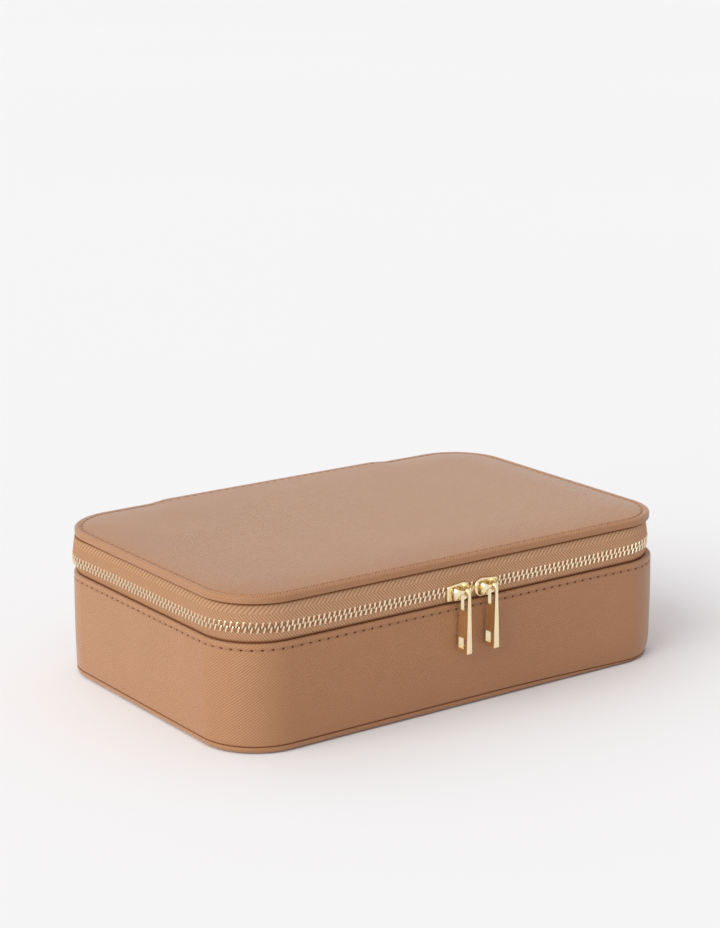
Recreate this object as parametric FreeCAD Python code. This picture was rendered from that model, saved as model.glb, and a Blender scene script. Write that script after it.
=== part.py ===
import FreeCAD, Part
import math
import os

# Zip-round leather jewellery case. Millimetres, +Z up, front towards -Y.
# The origin is the centre of the underside, on the surface the case stands on.

Vector = FreeCAD.Vector

# Outline of the case, seen from above
case_width = 240.0
case_depth = 155.0
corner_radius = 27.0
least_corner_radius = 2.0

# Heights of the outside
bottom_panel_height = 3.2
base_wall_height = 46.0
lid_rim_height = 3.0
lid_crown_height = 1.7
lid_frame_height = 5.3

# Layers of the walls
leather_thickness = 0.9
tape_thickness = 0.6
board_thickness = 1.8
lining_thickness = 0.8
seam_depth = 8.0

# Rounded edges of the leather
wall_top_rounding = 0.7
groove_rounding = 0.4
bottom_rounding = 1.2

# Lid panel
lid_rim_inset = 0.4
lid_rim_rounding = 1.1
lid_stitch_inset = 3.0
crown_reach = 20.0
crown_steps = 5

# Zip teeth
tooth_pitch = 2.6
tooth_width = 1.15
tooth_height = 1.95
tooth_tip_gap = 0.3
tooth_chamfer = 0.3
jaw_height = 1.1
jaw_thickness = 0.8
crimp_clearance = 0.02
stop_length = 2.4

# Zip sliders
slider_length = 12.8
slider_half_width = 4.25
slider_tail_half_width = 3.4
slider_tail_rounding = 0.8
slider_front_thickness = 1.4
slider_front_rounding = 0.8
slider_back_thickness = 1.1
slider_back_rounding = 0.4
slider_room = 0.75
slider_clearance = 0.25
slider_spacing = 15.0
slider_pair_centre = 1.5
post_clearance = 0.1
post_length = 2.4
post_nose_setback = 1.2
lip_height = 0.75
lip_tail_setback = 0.4

# Crown on a slider, with the bar that its pull hangs from
crown_height = 5.3
crown_half_length = 5.2
crown_width = 4.2
crown_rounding = 1.0
crown_slot = 3.2
bar_radius = 0.95
bar_height = 4.1

# Pulls
pull_drop = 27.0
pull_top_half_width = 3.1
pull_bottom_half_width = 3.5
pull_top_thickness = 2.1
pull_bottom_thickness = 3.0
pull_corner_radius = 0.8
pull_edge_rounding = 0.35
eye_clearance = 0.15
eye_wall = 0.9
eye_half_width = 1.9
eye_drop = 8.0
window_width = 5.2
window_height = 4.7
window_above_end = 2.2
window_corner_radius = 0.4

# Hinge strip at the back
hinge_strip_width = 128.0
hinge_strip_thickness = 1.2
hinge_strip_clearance = 0.2

# Inside of the base
floor_pad_thickness = 3.0
soft_clearance = 0.3
divider_thickness = 3.0
divider_drop = 3.0
divider_rounding = 1.2
ring_section_width = 100.0
cross_divider_offset = 6.0
short_divider_offset = 4.0
roll_count = 7
roll_gap = 0.4
roll_drop = 1.0

# Mirror in the lid
mirror_width = 158.0
mirror_depth = 88.0
mirror_corner_radius = 8.0
mirror_thickness = 2.0
mirror_clearance = 0.3
mirror_frame_width = 7.0
mirror_frame_lip = 2.5
mirror_lip_thickness = 0.8

# Levels, from the bottom up
wall_top = bottom_panel_height + base_wall_height
chain_level = wall_top + slider_half_width + slider_room
frame_bottom = chain_level + slider_half_width + slider_room + lining_thickness
rim_bottom = frame_bottom + lid_frame_height
rim_top = rim_bottom + lid_rim_height
floor_top = bottom_panel_height + floor_pad_thickness
seam_bottom = wall_top - seam_depth
divider_top = wall_top - divider_drop

# Insets of the layers, from the outer face of the wall inwards
fold_inset = 2 * leather_thickness
board_inset = fold_inset + tape_thickness
lining_inset = board_inset + board_thickness
cavity_inset = lining_inset + lining_thickness
chain_inset = fold_inset + tape_thickness / 2
lid_board_inset = lid_rim_inset + leather_thickness

# Places across the chain, measured from the middle of the tape
tooth_half_thickness = tape_thickness / 2 + crimp_clearance + jaw_thickness
tooth_base = tooth_tip_gap + tooth_height
tape_edge = tooth_base - jaw_height
plate_inner = tooth_half_thickness + slider_clearance
plate_outer = plate_inner + slider_front_thickness
front_chain_y = chain_inset - case_depth / 2

# Inside of the base, seen from above
cavity_half_width = case_width / 2 - cavity_inset
cavity_half_depth = case_depth / 2 - cavity_inset
long_divider_x = ring_section_width - cavity_half_width

overshoot = 1.0
tolerance = 1e-4


def rounded_rectangle(width, depth, radius, z):
    """Closed wire of a rectangle with round corners, centred on the Z axis."""
    radius = max(radius, least_corner_radius)
    corner_cut = radius * (1 - math.sqrt(0.5))
    half_width = width / 2
    half_depth = depth / 2
    edges = []
    for turn in range(4):
        reach, side = (half_width, half_depth) if turn % 2 == 0 else (half_depth, half_width)
        start = Vector(radius - reach, -side, z)
        end = Vector(reach - radius, -side, z)
        middle = Vector(reach - corner_cut, corner_cut - side, z)
        after = Vector(reach, radius - side, z)
        spots = [Vector(point) for point in (start, end, middle, after)]
        for _ in range(turn):
            spots = [Vector(-point.y, point.x, point.z) for point in spots]
        edges.append(Part.LineSegment(spots[0], spots[1]).toShape())
        edges.append(Part.Arc(spots[1], spots[2], spots[3]).toShape())
    return Part.Wire(edges)


def case_outline(inset, z):
    return rounded_rectangle(case_width - 2 * inset, case_depth - 2 * inset, corner_radius - inset, z)


def prism(wire, height):
    return Part.Face(wire).extrude(Vector(0, 0, height))


def slab(inset, low, high):
    """Plate with the outline of the case, drawn in by an inset."""
    return prism(case_outline(inset, low), high - low)


def ring(outer_inset, inner_inset, low, high):
    """Wall that runs round the case between two insets."""
    hollow = slab(inner_inset, low - overshoot, high + overshoot)
    return slab(outer_inset, low, high).cut(hollow)


def block(low, high):
    size = high - low
    return Part.makeBox(size.x, size.y, size.z, low)


def joined(first, *others):
    return first.fuse(list(others)).removeSplitter()


def inset_of(point):
    """How far a point lies inside the outer face of the wall."""
    x = abs(point.x) - (case_width / 2 - corner_radius)
    y = abs(point.y) - (case_depth / 2 - corner_radius)
    outside = math.hypot(max(x, 0), max(y, 0))
    return corner_radius - outside - min(max(x, y), 0)


def level_edges(shape, inset, z):
    """Edges that run round the case at one inset and one height."""
    found = []
    for edge in shape.Edges:
        middle = edge.valueAt((edge.FirstParameter + edge.LastParameter) / 2)
        level = edge.BoundBox.ZLength < tolerance and abs(middle.z - z) < tolerance
        if level and abs(inset_of(middle) - inset) < tolerance:
            found.append(edge)
    return found


def hinge_space(low, high, clearance):
    """The part of the back wall that the hinge strip takes up."""
    half = hinge_strip_width / 2 + clearance
    back = case_depth / 2
    return block(Vector(-half, back - corner_radius, low), Vector(half, back, high))


# Base

def make_base_wall_cover():
    wall = ring(0, leather_thickness, bottom_panel_height, wall_top)
    fold = ring(leather_thickness, fold_inset, seam_bottom, wall_top)
    cover = joined(wall, fold)
    cover = cover.makeFillet(wall_top_rounding, level_edges(cover, 0, wall_top))
    return cover.makeFillet(groove_rounding, level_edges(cover, 0, bottom_panel_height))


def make_base_wall_foam():
    return ring(leather_thickness, board_inset, bottom_panel_height, seam_bottom)


def make_base_wall_board():
    return ring(board_inset, lining_inset, bottom_panel_height, wall_top - lining_thickness)


def make_base_wall_lining():
    wall = ring(lining_inset, cavity_inset, bottom_panel_height, wall_top)
    fold = ring(board_inset, lining_inset, wall_top - lining_thickness, wall_top)
    return joined(wall, fold)


def make_bottom_board():
    return slab(leather_thickness, leather_thickness, bottom_panel_height)


def make_bottom_cover():
    panel = slab(0, 0, bottom_panel_height)
    panel = panel.makeFillet(bottom_rounding, level_edges(panel, 0, 0))
    panel = panel.makeFillet(groove_rounding, level_edges(panel, 0, bottom_panel_height))
    return panel.cut(slab(leather_thickness, leather_thickness, bottom_panel_height + overshoot))


def make_floor_pad():
    return slab(cavity_inset, bottom_panel_height, floor_top)


def make_hinge_strip():
    half = hinge_strip_width / 2
    back = case_depth / 2
    shown_inset = board_inset - hinge_strip_thickness
    low = Vector(-half, back - board_inset, seam_bottom)
    tail_high = Vector(half, back - fold_inset, wall_top)
    shown_low = Vector(-half, back - board_inset, wall_top)
    shown_high = Vector(half, back - shown_inset, rim_bottom - hinge_strip_clearance)
    return joined(block(low, tail_high), block(shown_low, shown_high))


# Zip

def make_tape(low, high):
    tape = ring(fold_inset, board_inset, low, high)
    return tape.cut(hinge_space(low - overshoot, high + overshoot, hinge_strip_clearance))


def make_tape_lower():
    return make_tape(seam_bottom, chain_level - tape_edge)


def make_tape_upper():
    return make_tape(chain_level + tape_edge, rim_bottom)


def chain_runs():
    """Half of the chain's path, from the middle of the front to the back: lengths of its runs."""
    arc = (corner_radius - chain_inset) * math.pi / 2
    front = case_width / 2 - corner_radius
    side = case_depth - 2 * corner_radius
    back = front - hinge_strip_width / 2 - hinge_strip_clearance
    return front, arc, side, arc, back


def chain_placement(distance):
    """Place on the chain at a distance from the middle of the front, to the right if positive."""
    front, arc, side, _, _ = chain_runs()
    radius = corner_radius - chain_inset
    centre_x = case_width / 2 - corner_radius
    centre_y = case_depth / 2 - corner_radius
    along = abs(distance)
    if along <= front:
        x, y, turn = along, -centre_y - radius, 0.0
    elif along <= front + arc:
        turn = (along - front) / radius
        x = centre_x + radius * math.sin(turn)
        y = -centre_y - radius * math.cos(turn)
    elif along <= front + arc + side:
        x, y, turn = centre_x + radius, along - front - arc - centre_y, math.pi / 2
    elif along <= front + 2 * arc + side:
        turn = math.pi / 2 + (along - front - arc - side) / radius
        x = centre_x + radius * math.sin(turn)
        y = centre_y - radius * math.cos(turn)
    else:
        x = centre_x - (along - front - 2 * arc - side)
        y, turn = centre_y + radius, math.pi
    if distance < 0:
        x, turn = -x, -turn
    rotation = FreeCAD.Rotation(Vector(0, 0, 1), math.degrees(turn))
    return FreeCAD.Placement(Vector(x, y, chain_level), rotation)


def tooth(width, side):
    """One tooth of the upper row (side 1) or lower row (side -1), open towards its tape."""
    half = tooth_half_thickness
    slot = tape_thickness / 2 + crimp_clearance
    right = [
        (half - tooth_chamfer, tooth_tip_gap),
        (half, tooth_tip_gap + tooth_chamfer),
        (half, tooth_base - tooth_chamfer),
        (half - tooth_chamfer, tooth_base),
        (slot, tooth_base),
        (slot, tape_edge),
    ]
    left = [(-across, height) for across, height in reversed(right)]
    corners = [Vector(-width / 2, across, side * height) for across, height in right + left]
    profile = Part.Face(Part.makePolygon(corners + corners[:1]))
    return profile.extrude(Vector(width, 0, 0))


def chain_end():
    return sum(chain_runs()) - stop_length


def make_teeth(side):
    first = 0.0 if side < 0 else 0.5
    count = int((chain_end() - tooth_width) / tooth_pitch - first)
    steps = [first + step for step in range(count + 1)]
    places = steps + [-step for step in steps if step > 0]
    teeth = []
    for step in sorted(places):
        single = tooth(tooth_width, side)
        single.Placement = chain_placement(step * tooth_pitch)
        teeth.append(single)
    return Part.makeCompound(teeth)


def make_stops(side):
    stops = []
    for end in (-1, 1):
        single = tooth(stop_length, side)
        single.Placement = chain_placement(end * (chain_end() + stop_length / 2))
        stops.append(single)
    return Part.makeCompound(stops)


# Sliders, drawn about the middle of the chain with the nose towards +X

def slider_plate(near, far, rounding):
    """Flat wing of a slider, with a square tail and a round nose."""
    half = slider_length / 2
    shoulder = half - slider_half_width
    spots = [
        Vector(-half, near, -slider_tail_half_width),
        Vector(shoulder, near, -slider_half_width),
        Vector(half, near, 0),
        Vector(shoulder, near, slider_half_width),
        Vector(-half, near, slider_tail_half_width),
    ]
    edges = [
        Part.LineSegment(spots[0], spots[1]).toShape(),
        Part.Arc(spots[1], spots[2], spots[3]).toShape(),
        Part.LineSegment(spots[3], spots[4]).toShape(),
        Part.LineSegment(spots[4], spots[0]).toShape(),
    ]
    plate = Part.Face(Part.Wire(edges)).extrude(Vector(0, far - near, 0))
    tail = [
        edge
        for edge in plate.Edges
        if edge.BoundBox.XMax < tolerance - half and edge.BoundBox.ZLength < tolerance
    ]
    plate = plate.makeFillet(slider_tail_rounding, tail)
    outer = [
        edge
        for edge in plate.Edges
        if abs(edge.BoundBox.YMin - far) < tolerance and abs(edge.BoundBox.YMax - far) < tolerance
    ]
    return plate.makeFillet(rounding, outer)


def make_slider_body():
    half = slider_length / 2
    front = slider_plate(-plate_inner, -plate_outer, slider_front_rounding)
    back = slider_plate(plate_inner, plate_inner + slider_back_thickness, slider_back_rounding)
    post_half = tooth_tip_gap - post_clearance
    post_end = half - post_nose_setback
    post = block(
        Vector(post_end - post_length, -plate_inner, -post_half),
        Vector(post_end, plate_inner, post_half),
    )
    lip_start = lip_tail_setback + slider_tail_rounding - half
    lip_reach = tape_thickness / 2 + slider_clearance
    lips = []
    for near, far in ((-plate_inner, -lip_reach), (lip_reach, plate_inner)):
        low = Vector(lip_start, near, -slider_tail_half_width)
        lips.append(block(low, Vector(post_end - post_length, far, lip_height - slider_tail_half_width)))
    return joined(front, back, post, *lips)


def make_slider_crown():
    """Arched crown on the front wing, slotted for the pull, with a round bar across the slot."""
    arch = Part.Arc(
        Vector(-crown_half_length, 0, 0), Vector(0, -crown_height, 0), Vector(crown_half_length, 0, 0)
    ).toShape()
    seat = Part.LineSegment(Vector(crown_half_length, 0, 0), Vector(-crown_half_length, 0, 0)).toShape()
    dome = prism(Part.Wire([arch, seat]), crown_width)
    dome.translate(Vector(0, 0, -crown_width / 2))
    rims = [
        edge
        for edge in dome.Edges
        if edge.BoundBox.ZLength < tolerance and edge.BoundBox.YLength > tolerance
    ]
    dome = dome.makeFillet(crown_rounding, rims)
    slot = block(
        Vector(-crown_slot / 2, -crown_height - overshoot, -crown_width),
        Vector(crown_slot / 2, overshoot, crown_width),
    )
    bar_start = Vector(-crown_slot / 2 - bar_radius, -bar_height, 0)
    bar = Part.makeCylinder(bar_radius, crown_slot + 2 * bar_radius, bar_start, Vector(1, 0, 0))
    crown = dome.cut(slot).fuse(bar).removeSplitter()
    crown.translate(Vector(0, -plate_outer, 0))
    return crown


def pull_outline():
    """Side of a pull about its bar: round at the top, square with round corners at the end."""
    top = pull_top_half_width
    bottom = pull_bottom_half_width
    depth = pull_bottom_thickness
    centre = bar_radius + eye_clearance + eye_wall - top
    spots = [
        Vector(-depth, -top, centre),
        Vector(-depth, 0, centre + top),
        Vector(-depth, top, centre),
        Vector(-depth, bottom, -pull_drop),
        Vector(-depth, -bottom, -pull_drop),
    ]
    edges = [
        Part.Arc(spots[0], spots[1], spots[2]).toShape(),
        Part.LineSegment(spots[2], spots[3]).toShape(),
        Part.LineSegment(spots[3], spots[4]).toShape(),
        Part.LineSegment(spots[4], spots[0]).toShape(),
    ]
    plate = Part.Face(Part.Wire(edges)).extrude(Vector(2 * depth, 0, 0))
    lower = [
        edge
        for edge in plate.Edges
        if edge.BoundBox.ZMax < tolerance - pull_drop and edge.BoundBox.YLength < tolerance
    ]
    return plate.makeFillet(pull_corner_radius, lower)


def pull_wedge():
    """Space between the two sides of a pull, which part towards its lower end."""
    reach = 2 * pull_bottom_half_width
    high = pull_top_half_width
    top = pull_top_thickness / 2
    bottom = pull_bottom_thickness / 2
    corners = [
        Vector(-top, -reach, high),
        Vector(top, -reach, high),
        Vector(bottom, -reach, -pull_drop),
        Vector(-bottom, -reach, -pull_drop),
    ]
    return Part.Face(Part.makePolygon(corners + corners[:1])).extrude(Vector(0, 2 * reach, 0))


def pull_window(half_width, low, high):
    """Hole through a pull with round corners, centred across it."""
    depth = pull_bottom_thickness
    hole = block(Vector(-depth, -half_width, low), Vector(depth, half_width, high))
    corners = [edge for edge in hole.Edges if edge.BoundBox.XLength > depth]
    return hole.makeFillet(window_corner_radius, corners)


def pull_eye():
    """Hole for the bar, round at the top and square below."""
    depth = pull_bottom_thickness
    centre = bar_radius + eye_clearance - eye_half_width
    arch = Part.makeCylinder(eye_half_width, 2 * depth, Vector(-depth, 0, centre), Vector(1, 0, 0))
    shaft_low = Vector(-depth, -eye_half_width, eye_half_width - eye_drop)
    shaft = block(shaft_low, Vector(depth, eye_half_width, centre))
    foot = pull_window(eye_half_width, -eye_drop, centre)
    return joined(arch, shaft, foot)


def make_pull():
    """Plate that hangs edge-on from the bar, thicker towards its lower end."""
    pull = pull_outline().common(pull_wedge())
    rims = [edge for edge in pull.Edges if edge.BoundBox.XLength < pull_bottom_thickness / 2]
    pull = pull.makeFillet(pull_edge_rounding, rims)
    window_low = window_above_end - pull_drop
    pull = pull.cut(pull_eye())
    pull = pull.cut(pull_window(window_width / 2, window_low, window_low + window_height))
    pull.translate(Vector(0, -plate_outer - bar_height, 0))
    return pull


def on_front(shape, side):
    """Set a left (side -1) or right (side 1) slider piece on the front run of the chain."""
    if side > 0:
        shape = shape.mirror(Vector(0, 0, 0), Vector(1, 0, 0))
    x = slider_pair_centre + side * slider_spacing / 2
    shape.translate(Vector(x, front_chain_y, chain_level))
    return shape


# Inside of the base

def divider(low_x, high_x, low_y, high_y):
    board = block(Vector(low_x, low_y, floor_top), Vector(high_x, high_y, divider_top))
    along_x = high_x - low_x > high_y - low_y
    ridges = [
        edge
        for edge in board.Edges
        if abs(edge.BoundBox.ZMin - divider_top) < tolerance
        and (edge.BoundBox.XLength > divider_thickness) == along_x
        and max(edge.BoundBox.XLength, edge.BoundBox.YLength) > divider_thickness + tolerance
    ]
    return board.makeFillet(divider_rounding, ridges)


def make_divider_long():
    half = divider_thickness / 2
    reach = cavity_half_depth - soft_clearance
    return divider(long_divider_x - half, long_divider_x + half, -reach, reach)


def make_divider_cross():
    half = divider_thickness / 2
    start = long_divider_x + half
    end = cavity_half_width - soft_clearance
    return divider(start, end, cross_divider_offset - half, cross_divider_offset + half)


def make_divider_short():
    half = divider_thickness / 2
    x = (long_divider_x + cavity_half_width) / 2 + short_divider_offset
    start = cross_divider_offset + half
    return divider(x - half, x + half, start, cavity_half_depth - soft_clearance)


def roll_diameter():
    return (2 * (cavity_half_depth - soft_clearance)) / roll_count - roll_gap


def ring_section(low, high):
    """Space of the ring section, clear of the lining and of the long divider."""
    space = slab(cavity_inset + soft_clearance, low, high)
    right = long_divider_x - divider_thickness / 2 - soft_clearance
    reach = Vector(case_width, case_depth, 0)
    return space.common(block(Vector(0, 0, low) - reach, Vector(right, case_depth, high)))


def make_ring_bed():
    return ring_section(floor_top, divider_top - roll_drop - roll_diameter())


def make_ring_roll(number):
    radius = roll_diameter() / 2
    pitch = roll_diameter() + roll_gap
    y = (number - (roll_count + 1) / 2) * pitch
    z = divider_top - roll_drop - radius
    start = Vector(-case_width / 2, y, z)
    roll = Part.makeCylinder(radius, case_width, start, Vector(1, 0, 0))
    return roll.common(ring_section(floor_top, divider_top))


# Lid

def crown_sections(drop):
    """Insets and heights up the padded top, at a depth below its outer face."""
    sections = []
    for step in range(crown_steps + 1):
        share = step / crown_steps
        inset = lid_rim_inset + lid_stitch_inset + crown_reach * share
        height = rim_top + lid_crown_height * (1 - (1 - share) ** 2)
        sections.append((inset, height - drop))
    return sections


def lofted(sections):
    return Part.makeLoft([case_outline(inset, z) for inset, z in sections], True, True)


def make_lid_board():
    return slab(lid_board_inset, rim_bottom, rim_bottom + board_thickness)


def make_lid_foam():
    crown = crown_sections(leather_thickness)
    edge_inset = crown[0][0]
    return lofted([(edge_inset, rim_bottom + board_thickness)] + crown)


def make_lid_cover():
    rim = slab(lid_rim_inset, rim_bottom, rim_top)
    rim = rim.makeFillet(lid_rim_rounding, level_edges(rim, lid_rim_inset, rim_top))
    outer = joined(rim, lofted(crown_sections(0)))
    return outer.cut(make_lid_board()).cut(make_lid_foam())


def make_lid_frame():
    return ring(board_inset, lining_inset, frame_bottom, rim_bottom)


def make_lid_lining():
    ceiling = slab(lining_inset, rim_bottom - lining_thickness, rim_bottom)
    wall = ring(lining_inset, cavity_inset, frame_bottom - lining_thickness, rim_bottom)
    fold = ring(board_inset, lining_inset, frame_bottom - lining_thickness, frame_bottom)
    return joined(ceiling, wall, fold)


def mirror_plate(margin, low, high):
    width = mirror_width + 2 * margin
    depth = mirror_depth + 2 * margin
    return prism(rounded_rectangle(width, depth, mirror_corner_radius + margin, low), high - low)


def make_mirror_glass():
    seat = rim_bottom - lining_thickness
    return mirror_plate(0, seat - mirror_thickness, seat)


def make_mirror_frame():
    seat = rim_bottom - lining_thickness
    glass_face = seat - mirror_thickness - mirror_clearance
    low = glass_face - mirror_lip_thickness
    frame = mirror_plate(mirror_frame_width, low, seat)
    frame = frame.cut(mirror_plate(mirror_clearance, glass_face, seat + overshoot))
    return frame.cut(mirror_plate(-mirror_frame_lip, low - overshoot, seat))


def make_nodes():
    nodes = {
        "base_wall_cover": make_base_wall_cover(),
        "base_wall_foam": make_base_wall_foam(),
        "base_wall_board": make_base_wall_board(),
        "base_wall_lining": make_base_wall_lining(),
        "bottom_cover": make_bottom_cover(),
        "bottom_board": make_bottom_board(),
        "floor_pad": make_floor_pad(),
        "hinge_strip": make_hinge_strip(),
        "zip_tape_lower": make_tape_lower(),
        "zip_teeth_lower": make_teeth(-1),
        "zip_stops_lower": make_stops(-1),
        "divider_long": make_divider_long(),
        "divider_cross": make_divider_cross(),
        "divider_short": make_divider_short(),
        "ring_bed": make_ring_bed(),
        "lid_cover": make_lid_cover(),
        "lid_foam": make_lid_foam(),
        "lid_board": make_lid_board(),
        "lid_frame": make_lid_frame(),
        "lid_lining": make_lid_lining(),
        "mirror_glass": make_mirror_glass(),
        "mirror_frame": make_mirror_frame(),
        "zip_tape_upper": make_tape_upper(),
        "zip_teeth_upper": make_teeth(1),
        "zip_stops_upper": make_stops(1),
    }
    for number in range(1, roll_count + 1):
        nodes[f"ring_roll_{number}"] = make_ring_roll(number)
    for name, side in (("left", -1), ("right", 1)):
        nodes[f"slider_{name}_body"] = on_front(make_slider_body(), side)
        nodes[f"slider_{name}_crown"] = on_front(make_slider_crown(), side)
        nodes[f"pull_{name}"] = on_front(make_pull(), side)
    return nodes


def print_levels():
    print("wall top", round(wall_top, 3), "chain", round(chain_level, 3))
    print("rim bottom", round(rim_bottom, 3), "rim top", round(rim_top, 3))
    bar_y = front_chain_y - plate_outer - bar_height
    print("front chain y", round(front_chain_y, 3), "bar y", round(bar_y, 3))


def main():
    os.makedirs("parts", exist_ok=True)
    for name, shape in make_nodes().items():
        shape.exportStep(f"parts/{name}.step")
        print(name, len(shape.Solids), "valid" if shape.isValid() else "NOT VALID", round(shape.Volume, 2))
    print_levels()


main()
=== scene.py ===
import math

import bmesh
import bpy
import numpy as np
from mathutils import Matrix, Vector


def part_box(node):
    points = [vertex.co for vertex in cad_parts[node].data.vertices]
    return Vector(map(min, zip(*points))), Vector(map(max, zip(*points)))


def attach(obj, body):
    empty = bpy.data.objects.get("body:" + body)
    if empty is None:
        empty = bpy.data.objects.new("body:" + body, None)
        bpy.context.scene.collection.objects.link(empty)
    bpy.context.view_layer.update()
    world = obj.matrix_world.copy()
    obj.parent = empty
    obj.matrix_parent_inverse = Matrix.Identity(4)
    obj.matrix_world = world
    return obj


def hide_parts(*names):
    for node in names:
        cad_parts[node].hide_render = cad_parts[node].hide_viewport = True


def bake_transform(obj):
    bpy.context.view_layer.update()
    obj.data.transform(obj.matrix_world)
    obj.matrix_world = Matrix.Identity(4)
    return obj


# Zip-round leather jewellery case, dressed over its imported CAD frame.
# Metres, +Z up, front towards -Y, origin at the middle of the underside.

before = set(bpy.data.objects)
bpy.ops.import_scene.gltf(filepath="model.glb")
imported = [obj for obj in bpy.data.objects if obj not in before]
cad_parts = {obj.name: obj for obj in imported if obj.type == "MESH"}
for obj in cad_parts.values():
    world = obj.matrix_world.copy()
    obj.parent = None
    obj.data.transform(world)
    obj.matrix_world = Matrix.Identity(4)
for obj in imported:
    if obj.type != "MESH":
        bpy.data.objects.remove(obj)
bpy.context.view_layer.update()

mm = 0.001

# Outline of the case, as in the CAD
corner_radius = 27 * mm
wall_low, wall_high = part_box("base_wall_cover")
half_width = wall_high.x
half_depth = wall_high.y

# Levels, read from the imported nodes
wall_bottom = wall_low.z
wall_top = wall_high.z
leather_top = wall_top - 1.2 * mm
seam_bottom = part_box("zip_tape_lower")[0].z
rim_bottom, crown_top = (corner.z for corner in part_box("lid_cover"))
chain_level = (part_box("zip_teeth_lower")[1].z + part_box("zip_teeth_upper")[0].z) / 2
lid_fold_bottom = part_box("lid_lining")[0].z
floor_bottom, floor_top = (corner.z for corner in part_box("floor_pad"))

# Layers of the wall, as insets from its outer face
leather = 0.9 * mm
fold_inset = 1.8 * mm
tape_back_inset = 2.4 * mm
chain_inset = 1.6 * mm
lining_inset = 4.2 * mm
cavity_inset = 5.0 * mm

# Leather edges
wall_roll = 0.8 * mm
groove_roll = 0.75 * mm
bottom_roll = 1.7 * mm
bottom_lift = 0.3 * mm
bottom_lift_reach = 14 * mm
seam_sink = 1.9 * mm
seam_sink_reach = 58 * mm
seam_sink_height = 20 * mm
wall_bulge = 0.2 * mm
wall_waves = ((0.113, 0.4), (0.071, 1.9), (0.187, 3.1))
corner_swell = 1.1 * mm
corner_swell_reach = 34 * mm
corner_swell_foot = 7 * mm

# Lid panel
rim_inset = 0.1 * mm
rim_draw = 0.7 * mm
rim_height = 3.0 * mm
rim_roll = 0.7 * mm
rim_foot_roll = 0.4 * mm
rim_ridge = 0.42 * mm
far_flatness = 0.85
far_side = (0.6, 0.8)
far_blur = 0.6
lid_waves = ((0.131, 1.1), (0.083, 2.7), (0.211, 0.2))
lid_unevenness = 0.12 * mm
lid_flat_margin = 0.3 * mm
lid_stitch_inset = 3.3 * mm
crown_reach = 22 * mm
hinge_lift = 0.9 * mm
hinge_lift_ease = 12 * mm
hinge_lift_start = 4 * mm
hinge_lift_reach = 16 * mm

# Stitches
stitch_pitch = 4.5 * mm
columns_per_stitch = 8
base_stitch_drop = 2.7 * mm
stitch_channel = 0.22 * mm
stitch_spread = 0.55 * mm
lid_stitch_channel = 0.5 * mm
lid_stitch_spread = 0.5 * mm
stitch_dent = 0.4 * mm
stitch_gap = 1.1 * mm
stitch_slant = 0.22 * mm
thread_radius = 0.26 * mm
hole_radius = 0.5 * mm
hole_swell = 0.12 * mm
hole_depth = 0.6 * stitch_dent

# Zip
tooth_pitch = 2.6 * mm
tooth_half_width = 0.58 * mm
tooth_half_depth = 1.12 * mm
tooth_base = 2.35 * mm
tooth_reach = 1.05 * mm
tooth_slant = 0.28
tooth_corner = 0.62
teeth_clearance = 3.6 * mm
# Sections of a tooth from foot to tip: shares of its half width and half depth, and height
tooth_sections = (
    (0.9, 0.85, tooth_base),
    (0.97, 0.96, tooth_base - 0.16 * mm),
    (1.0, 1.0, tooth_base - 0.4 * mm),
    (1.0, 1.0, 0.4 * mm),
    (0.94, 0.95, 0.1 * mm),
    (0.85, 0.86, -0.3 * mm),
    (0.75, 0.74, -0.65 * mm),
    (0.6, 0.55, -0.9 * mm),
    (0.35, 0.35, -tooth_reach),
)
cord_gap = 0.3 * mm
tape_out = 0.6 * mm
tape_in = 2.0 * mm
tape_thick = 0.6 * mm
tape_clearance = 0.2 * mm
tape_columns = 400
tape_levels = 29
tape_swell = 1.2 * mm
tape_swell_reach = 28 * mm
chain_rise = 0.8 * mm
chain_sag = 0.3 * mm
chain_rise_reach = 24 * mm
chain_sag_reach = 60 * mm

# Wings, bridges and pulls of the sliders
wing_drop = 1.2 * mm
wing_reach = 1.5 * mm
pull_slim = 0.64
pull_longer = 0.6 * mm
bridge_sides = 16
bridge_rings = 33
bridge_bar = 0.95 * mm
bridge_bar_reach = 1.7 * mm
bridge_bar_height = 4.1 * mm
bridge_foot_thick = 0.9 * mm
bridge_foot_wide = 3.0 * mm
bridge_foot_drop = 1.2 * mm

# Hinge strip
hinge_low, hinge_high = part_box("hinge_strip")
hinge_half_width = hinge_high.x
hinge_edge = 0.6 * mm
hinge_swell = 0.25 * mm
hinge_rows = 25
hinge_columns = 65

# Spacing of the stations round plain pieces
plain_spacing = 2.5 * mm
pad_spacing = 3 * mm
mirror_spacing = 2 * mm

# Ring rolls and mirror
roll_end = 3.2 * mm
roll_sides = 40
roll_ripple = 0.006
roll_steps = 24
ring_clearance = 0.4 * mm
mirror_corner = 15 * mm
mirror_lip = 2.4 * mm

# Light
bright_side = (-0.35, 0.45, 0.82)
dim_from = -0.2
dim_level = 0.38
bright_level = 0.99
dim_colour = (1.0, 0.93, 0.91, 1.0)
bright_colour = (1.0, 1.0, 1.0, 1.0)
backdrop_colour = (0.91, 0.91, 0.92, 1.0)
key_side = (-0.85, -0.1, 0.5)
key_level = 1.86
key_spread = math.radians(55)
key_colour = (0.93, 1.0, 0.95)
floor_size = 30.0

# Camera, fitted to the photograph
camera_place = (-0.59695, -0.82395, 0.35367)
camera_azimuth = math.radians(-35.803)
camera_elevation = math.radians(14.365)
image_long_side = 928
focal_pixels = 2305.58
sensor = 36.0


def linear(red, green, blue):
    """Linear colour, with alpha, from 8-bit sRGB numbers."""
    parts = [part / 255 for part in (red, green, blue)]
    curve = [part / 12.92 if part <= 0.04045 else ((part + 0.055) / 1.055) ** 2.4 for part in parts]
    return (*curve, 1.0)


# Paths round a rectangle with round corners

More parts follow.
